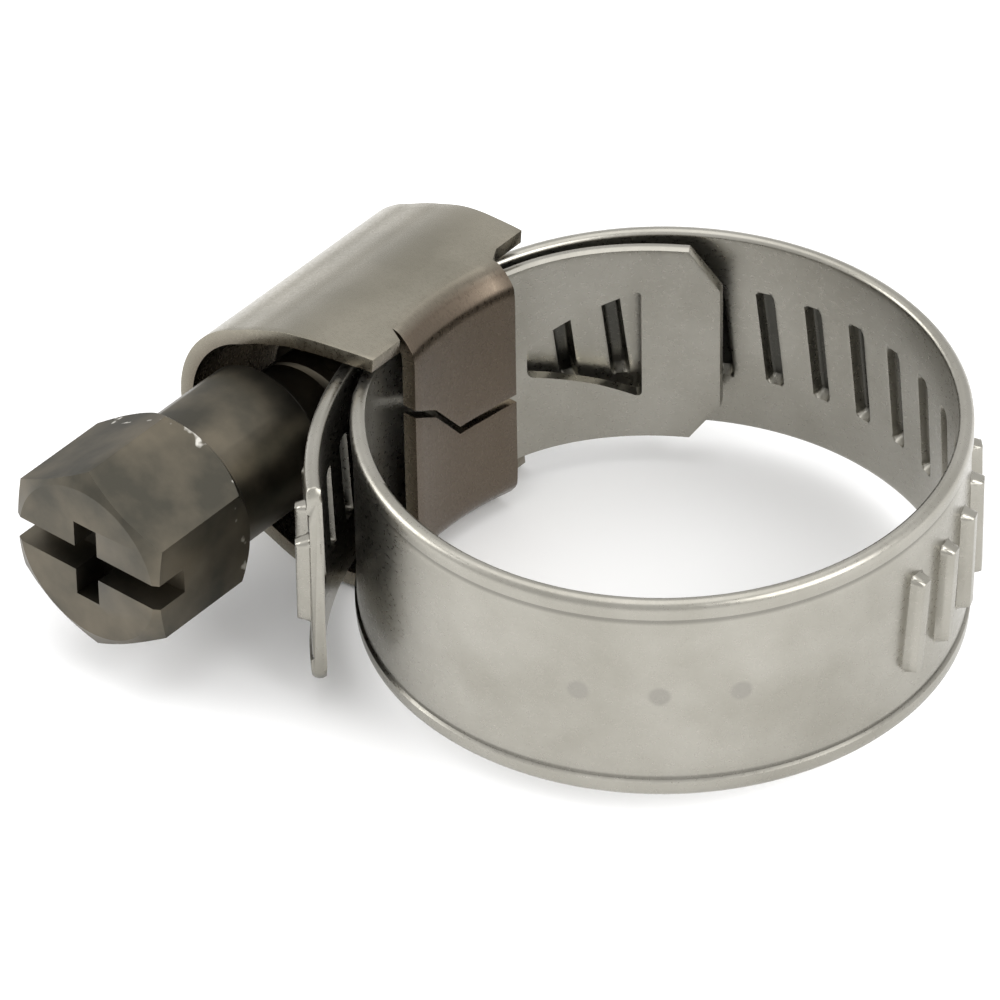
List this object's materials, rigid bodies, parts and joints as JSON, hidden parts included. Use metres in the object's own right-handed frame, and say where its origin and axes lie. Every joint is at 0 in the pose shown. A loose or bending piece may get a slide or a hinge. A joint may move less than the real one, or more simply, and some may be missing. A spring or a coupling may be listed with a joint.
{
  "type": "worm-drive hose clamp",
  "caption": "Worm-drive hose clamp: a toothed steel strip band looped through a pressed housing and drawn in by a slotted hex-head screw.",
  "frame": {"origin": "middle of the overall box at its lowest level", "axes": "+X across the loop, away from the housing; +Y along the screw from its head into the housing; +Z along the hose"},
  "size_m": [0.0306, 0.028, 0.0111],
  "materials": {
    "housing": "pressed stainless sheet, satin",
    "band": "stainless strip, fine rolled grain",
    "screw": "cold-headed steel, dark satin"
  },
  "bodies": {
    "housing": {"housing": "housing", "band_fixed_end": "band"},
    "screw": {"screw": "screw"},
    "band_stretch_1": {"band_stretch_1": "band"},
    "band_stretch_2": {"band_stretch_2": "band"},
    "band_stretch_3": {"band_stretch_3": "band"},
    "band_stretch_4": {"band_stretch_4": "band"},
    "band_free_end": {"band_free_end": "band"}
  },
  "joints": [
    {"name": "screw_turn", "type": "hinge", "parent": "housing", "child": "screw", "pos_m": [-0.0111, -0.00897, 0.00555], "axis": [0, 1, 0], "range_deg": [0, 540]},
    {"name": "band_flex_1", "type": "hinge", "parent": "housing", "child": "band_stretch_1", "pos_m": [0.00179, -0.00907, 0.00555], "axis": [0, 0, 1], "range_deg": [0, 3.06]},
    {"name": "band_flex_2", "type": "hinge", "parent": "band_stretch_1", "child": "band_stretch_2", "pos_m": [0.01119, -0.00592, 0.00555], "axis": [0, 0, 1], "range_deg": [0, 2.76]},
    {"name": "band_flex_3", "type": "hinge", "parent": "band_stretch_2", "child": "band_stretch_3", "pos_m": [0.01441, 0.00345, 0.00555], "axis": [0, 0, 1], "range_deg": [0, 2.81]},
    {"name": "band_flex_4", "type": "hinge", "parent": "band_stretch_3", "child": "band_stretch_4", "pos_m": [0.00894, 0.01171, 0.00555], "axis": [0, 0, 1], "range_deg": [0, 1.15]},
    {"name": "band_flex_5", "type": "hinge", "parent": "band_stretch_4", "child": "band_free_end", "pos_m": [-0.00094, 0.0124, 0.00555], "axis": [0, 0, 1], "range_deg": [0, 2.6]}
  ],
  "couplings": [
    {"joint": "band_flex_1", "follows": "screw_turn", "ratio": 0.0055601},
    {"joint": "band_flex_2", "follows": "screw_turn", "ratio": 0.0050059},
    {"joint": "band_flex_3", "follows": "screw_turn", "ratio": 0.0051073},
    {"joint": "band_flex_4", "follows": "screw_turn", "ratio": 0.0020929},
    {"joint": "band_flex_5", "follows": "screw_turn", "ratio": 0.004722}
  ]
}
